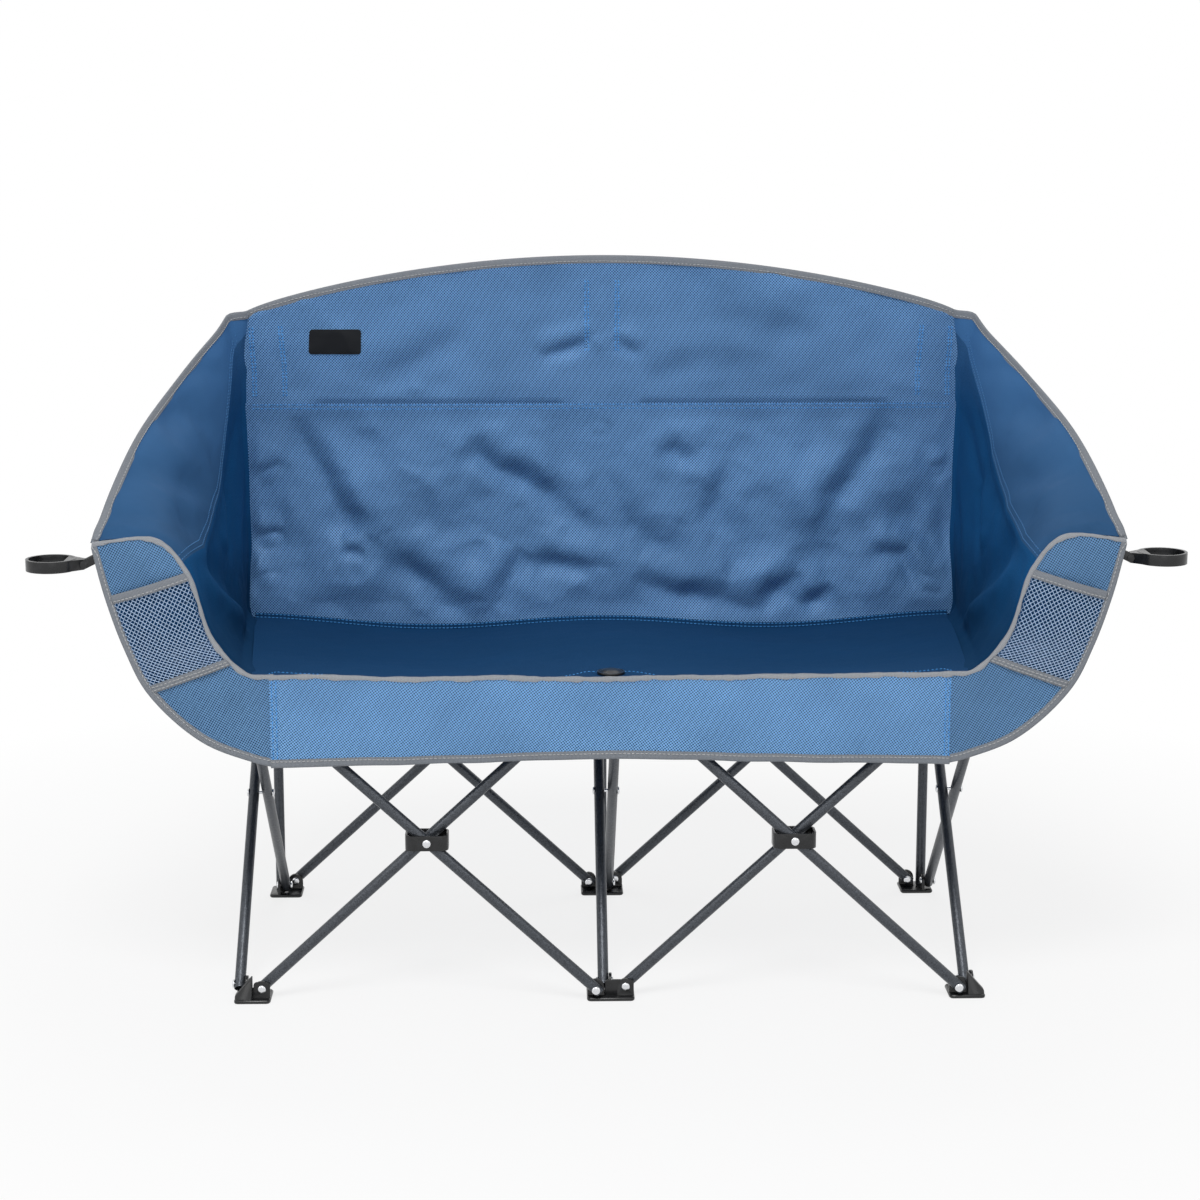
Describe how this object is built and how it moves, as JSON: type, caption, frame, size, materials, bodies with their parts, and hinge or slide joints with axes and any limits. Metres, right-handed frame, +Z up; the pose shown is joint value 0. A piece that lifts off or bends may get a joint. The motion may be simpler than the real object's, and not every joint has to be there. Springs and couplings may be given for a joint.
{
  "type": "folding camping loveseat",
  "caption": "Double folding camp chair: riveted crossed tubes, back posts with sliders, hanging fabric bucket seat, side wings, mesh pockets and hinged cup rings.",
  "frame": {"origin": "on the ground under the middle of the whole chair", "axes": "+X along the width, to the right seen from the front; +Y from the front to the back; +Z up"},
  "size_m": [1.6356, 0.6012, 1.043],
  "materials": {
    "tube": "hammered dark grey powder coat",
    "plastic": "moulded black",
    "zinc": "zinc plated",
    "navy": "woven navy polyester",
    "blue": "woven blue polyester",
    "band": "dotted blue polyester",
    "net": "knitted net"
  },
  "bodies": {
    "rear_centre": {"rear_centre_foot": "plastic", "middle_back_post": "tube", "middle_post_pocket": "blue", "back_lower_panel": "blue", "back_upper_panel": "blue"},
    "middle_forward": {"middle_side_forward_tube": "tube", "middle_side_rivet": "zinc"},
    "middle_rearward": {"middle_side_rearward_tube": "tube"},
    "front_centre_foot": {"front_centre_foot": "plastic"},
    "front_centre_top": {"front_centre_top_bracket": "plastic", "seat_button": "plastic", "front_band": "band"},
    "rear_centre_slider": {"rear_centre_slider": "plastic"},
    "seat_rear": {"seat_rear": "navy"},
    "seat_front": {"seat_front": "navy"},
    "rear_left_outward": {"rear_left_outward_tube": "tube"},
    "rear_left_inward": {"rear_left_inward_tube": "tube"},
    "rear_left_hub": {"rear_left_hub": "plastic", "rear_left_hub_rivet": "zinc"},
    "rear_left_foot": {"rear_left_foot": "plastic", "left_back_post": "tube", "left_post_pocket": "blue", "left_side_wing": "navy"},
    "rear_left_top": {"rear_left_slider": "plastic"},
    "front_left_outward": {"front_left_outward_tube": "tube", "left_arm_fitting": "plastic", "left_arm_band": "band", "left_mesh_pocket": "net"},
    "front_left_inward": {"front_left_inward_tube": "tube"},
    "front_left_hub": {"front_left_hub": "plastic", "front_left_hub_rivet": "zinc"},
    "front_left_foot": {"front_left_foot": "plastic"},
    "front_left_top": {"front_left_top_bracket": "plastic"},
    "left_forward": {"left_side_forward_tube": "tube", "left_side_rivet": "zinc"},
    "left_rearward": {"left_side_rearward_tube": "tube"},
    "left_cup_holder": {"left_cup_holder": "plastic"},
    "rear_right_outward": {"rear_right_outward_tube": "tube"},
    "rear_right_inward": {"rear_right_inward_tube": "tube"},
    "rear_right_hub": {"rear_right_hub": "plastic", "rear_right_hub_rivet": "zinc"},
    "rear_right_foot": {"rear_right_foot": "plastic", "right_back_post": "tube", "right_post_pocket": "blue", "right_side_wing": "navy"},
    "rear_right_top": {"rear_right_slider": "plastic"},
    "front_right_outward": {"front_right_outward_tube": "tube", "right_arm_fitting": "plastic", "right_arm_band": "band", "right_mesh_pocket": "net"},
    "front_right_inward": {"front_right_inward_tube": "tube"},
    "front_right_hub": {"front_right_hub": "plastic", "front_right_hub_rivet": "zinc"},
    "front_right_foot": {"front_right_foot": "plastic"},
    "front_right_top": {"front_right_top_bracket": "plastic"},
    "right_forward": {"right_side_forward_tube": "tube", "right_side_rivet": "zinc"},
    "right_rearward": {"right_side_rearward_tube": "tube"},
    "right_cup_holder": {"right_cup_holder": "plastic"}
  },
  "joints": [
    {"name": "frame_fold", "type": "hinge", "parent": "rear_centre", "child": "middle_forward", "pos_m": [0.0103, 0.2527, 0.018], "axis": [-1, 0, 0], "range_deg": [0, 40], "deforming": ["seat_rear", "seat_front", "back_lower_panel", "back_upper_panel", "front_band", "left_side_wing", "right_side_wing"]},
    {"name": "middle_side_cross", "type": "hinge", "parent": "middle_forward", "child": "middle_rearward", "pos_m": [0, 0.0107, 0.2405], "axis": [1, 0, 0], "range_deg": [0, 80]},
    {"name": "front_centre_foot_pivot", "type": "hinge", "parent": "middle_rearward", "child": "front_centre_foot", "pos_m": [-0.0103, -0.2313, 0.018], "axis": [-1, 0, 0], "range_deg": [0, 40]},
    {"name": "front_centre_top_pivot", "type": "hinge", "parent": "middle_forward", "child": "front_centre_top", "pos_m": [0.0103, -0.2313, 0.463], "axis": [1, 0, 0], "range_deg": [0, 40]},
    {"name": "rear_centre_slider_pivot", "type": "hinge", "parent": "middle_rearward", "child": "rear_centre_slider", "pos_m": [-0.0103, 0.2527, 0.463], "axis": [-1, 0, 0], "range_deg": [0, 40]},
    {"name": "seat_rear_hang", "type": "hinge", "parent": "rear_centre_slider", "child": "seat_rear", "pos_m": [0, 0.2357, 0.4635], "axis": [1, 0, 0], "range_deg": [0, 77.32]},
    {"name": "seat_middle_fold", "type": "hinge", "parent": "seat_rear", "child": "seat_front", "pos_m": [0, -0.0201, 0.478], "axis": [-1, 0, 0], "range_deg": [0, 154.63]},
    {"name": "rear_left_outward_pivot", "type": "hinge", "parent": "rear_centre", "child": "rear_left_outward", "pos_m": [-0.0216, 0.2664, 0.018], "axis": [0, 1, 0], "range_deg": [0, 40]},
    {"name": "rear_left_cross", "type": "hinge", "parent": "rear_left_outward", "child": "rear_left_inward", "pos_m": [-0.2636, 0.2767, 0.2405], "axis": [0, -1, 0], "range_deg": [0, 80]},
    {"name": "rear_left_hub_pivot", "type": "hinge", "parent": "rear_left_outward", "child": "rear_left_hub", "pos_m": [-0.2636, 0.2767, 0.2405], "axis": [0, -1, 0], "range_deg": [0, 40]},
    {"name": "rear_left_foot_pivot", "type": "hinge", "parent": "rear_left_inward", "child": "rear_left_foot", "pos_m": [-0.5056, 0.287, 0.018], "axis": [0, 1, 0], "range_deg": [0, 40]},
    {"name": "rear_left_top_pivot", "type": "hinge", "parent": "rear_left_outward", "child": "rear_left_top", "pos_m": [-0.5056, 0.2664, 0.463], "axis": [0, -1, 0], "range_deg": [0, 40]},
    {"name": "front_left_outward_pivot", "type": "hinge", "parent": "front_centre_foot", "child": "front_left_outward", "pos_m": [-0.0216, -0.2656, 0.018], "axis": [0, 1, 0], "range_deg": [0, 40]},
    {"name": "front_left_cross", "type": "hinge", "parent": "front_left_outward", "child": "front_left_inward", "pos_m": [-0.2636, -0.2553, 0.2405], "axis": [0, -1, 0], "range_deg": [0, 80]},
    {"name": "front_left_hub_pivot", "type": "hinge", "parent": "front_left_outward", "child": "front_left_hub", "pos_m": [-0.2636, -0.2553, 0.2405], "axis": [0, -1, 0], "range_deg": [0, 40]},
    {"name": "front_left_foot_pivot", "type": "hinge", "parent": "front_left_inward", "child": "front_left_foot", "pos_m": [-0.5056, -0.245, 0.018], "axis": [0, 1, 0], "range_deg": [0, 40]},
    {"name": "front_left_top_pivot", "type": "hinge", "parent": "front_left_outward", "child": "front_left_top", "pos_m": [-0.5056, -0.2656, 0.463], "axis": [0, -1, 0], "range_deg": [0, 40]},
    {"name": "left_forward_pivot", "type": "hinge", "parent": "rear_left_foot", "child": "left_forward", "pos_m": [-0.5193, 0.2527, 0.018], "axis": [-1, 0, 0], "range_deg": [0, 40]},
    {"name": "left_side_cross", "type": "hinge", "parent": "left_forward", "child": "left_rearward", "pos_m": [-0.5296, 0.0107, 0.2405], "axis": [1, 0, 0], "range_deg": [0, 80]},
    {"name": "left_cup_hinge", "type": "hinge", "parent": "front_left_outward", "child": "left_cup_holder", "pos_m": [-0.73578, -0.2656, 0.64625], "axis": [0, 1, 0], "range_deg": [0, 85]},
    {"name": "rear_right_outward_pivot", "type": "hinge", "parent": "rear_centre", "child": "rear_right_outward", "pos_m": [0.0216, 0.287, 0.018], "axis": [0, -1, 0], "range_deg": [0, 40]},
    {"name": "rear_right_cross", "type": "hinge", "parent": "rear_right_outward", "child": "rear_right_inward", "pos_m": [0.2636, 0.2767, 0.2405], "axis": [0, 1, 0], "range_deg": [0, 80]},
    {"name": "rear_right_hub_pivot", "type": "hinge", "parent": "rear_right_outward", "child": "rear_right_hub", "pos_m": [0.2636, 0.2767, 0.2405], "axis": [0, 1, 0], "range_deg": [0, 40]},
    {"name": "rear_right_foot_pivot", "type": "hinge", "parent": "rear_right_inward", "child": "rear_right_foot", "pos_m": [0.5056, 0.2664, 0.018], "axis": [0, -1, 0], "range_deg": [0, 40]},
    {"name": "rear_right_top_pivot", "type": "hinge", "parent": "rear_right_outward", "child": "rear_right_top", "pos_m": [0.5056, 0.287, 0.463], "axis": [0, 1, 0], "range_deg": [0, 40]},
    {"name": "front_right_outward_pivot", "type": "hinge", "parent": "front_centre_foot", "child": "front_right_outward", "pos_m": [0.0216, -0.245, 0.018], "axis": [0, -1, 0], "range_deg": [0, 40]},
    {"name": "front_right_cross", "type": "hinge", "parent": "front_right_outward", "child": "front_right_inward", "pos_m": [0.2636, -0.2553, 0.2405], "axis": [0, 1, 0], "range_deg": [0, 80]},
    {"name": "front_right_hub_pivot", "type": "hinge", "parent": "front_right_outward", "child": "front_right_hub", "pos_m": [0.2636, -0.2553, 0.2405], "axis": [0, 1, 0], "range_deg": [0, 40]},
    {"name": "front_right_foot_pivot", "type": "hinge", "parent": "front_right_inward", "child": "front_right_foot", "pos_m": [0.5056, -0.2656, 0.018], "axis": [0, -1, 0], "range_deg": [0, 40]},
    {"name": "front_right_top_pivot", "type": "hinge", "parent": "front_right_outward", "child": "front_right_top", "pos_m": [0.5056, -0.245, 0.463], "axis": [0, 1, 0], "range_deg": [0, 40]},
    {"name": "right_forward_pivot", "type": "hinge", "parent": "rear_right_foot", "child": "right_forward", "pos_m": [0.5399, 0.2527, 0.018], "axis": [-1, 0, 0], "range_deg": [0, 40]},
    {"name": "right_side_cross", "type": "hinge", "parent": "right_forward", "child": "right_rearward", "pos_m": [0.5296, 0.0107, 0.2405], "axis": [1, 0, 0], "range_deg": [0, 80]},
    {"name": "right_cup_hinge", "type": "hinge", "parent": "front_right_outward", "child": "right_cup_holder", "pos_m": [0.73578, -0.245, 0.64625], "axis": [0, -1, 0], "range_deg": [0, 85]}
  ],
  "couplings": [
    {"joint": "middle_side_cross", "follows": "frame_fold", "ratio": 2},
    {"joint": "front_centre_foot_pivot", "follows": "frame_fold", "ratio": 1},
    {"joint": "front_centre_top_pivot", "follows": "frame_fold", "ratio": 1},
    {"joint": "rear_centre_slider_pivot", "follows": "frame_fold", "ratio": 1},
    {"joint": "seat_rear_hang", "follows": "frame_fold", "ratio": 1.9329},
    {"joint": "seat_middle_fold", "follows": "frame_fold", "ratio": 3.8658},
    {"joint": "rear_left_outward_pivot", "follows": "frame_fold", "ratio": 1},
    {"joint": "rear_left_cross", "follows": "frame_fold", "ratio": 2},
    {"joint": "rear_left_hub_pivot", "follows": "frame_fold", "ratio": 1},
    {"joint": "rear_left_foot_pivot", "follows": "frame_fold", "ratio": 1},
    {"joint": "rear_left_top_pivot", "follows": "frame_fold", "ratio": 1},
    {"joint": "front_left_outward_pivot", "follows": "frame_fold", "ratio": 1},
    {"joint": "front_left_cross", "follows": "frame_fold", "ratio": 2},
    {"joint": "front_left_hub_pivot", "follows": "frame_fold", "ratio": 1},
    {"joint": "front_left_foot_pivot", "follows": "frame_fold", "ratio": 1},
    {"joint": "front_left_top_pivot", "follows": "frame_fold", "ratio": 1},
    {"joint": "left_forward_pivot", "follows": "frame_fold", "ratio": 1},
    {"joint": "left_side_cross", "follows": "frame_fold", "ratio": 2},
    {"joint": "rear_right_outward_pivot", "follows": "frame_fold", "ratio": 1},
    {"joint": "rear_right_cross", "follows": "frame_fold", "ratio": 2},
    {"joint": "rear_right_hub_pivot", "follows": "frame_fold", "ratio": 1},
    {"joint": "rear_right_foot_pivot", "follows": "frame_fold", "ratio": 1},
    {"joint": "rear_right_top_pivot", "follows": "frame_fold", "ratio": 1},
    {"joint": "front_right_outward_pivot", "follows": "frame_fold", "ratio": 1},
    {"joint": "front_right_cross", "follows": "frame_fold", "ratio": 2},
    {"joint": "front_right_hub_pivot", "follows": "frame_fold", "ratio": 1},
    {"joint": "front_right_foot_pivot", "follows": "frame_fold", "ratio": 1},
    {"joint": "front_right_top_pivot", "follows": "frame_fold", "ratio": 1},
    {"joint": "right_forward_pivot", "follows": "frame_fold", "ratio": 1},
    {"joint": "right_side_cross", "follows": "frame_fold", "ratio": 2}
  ]
}
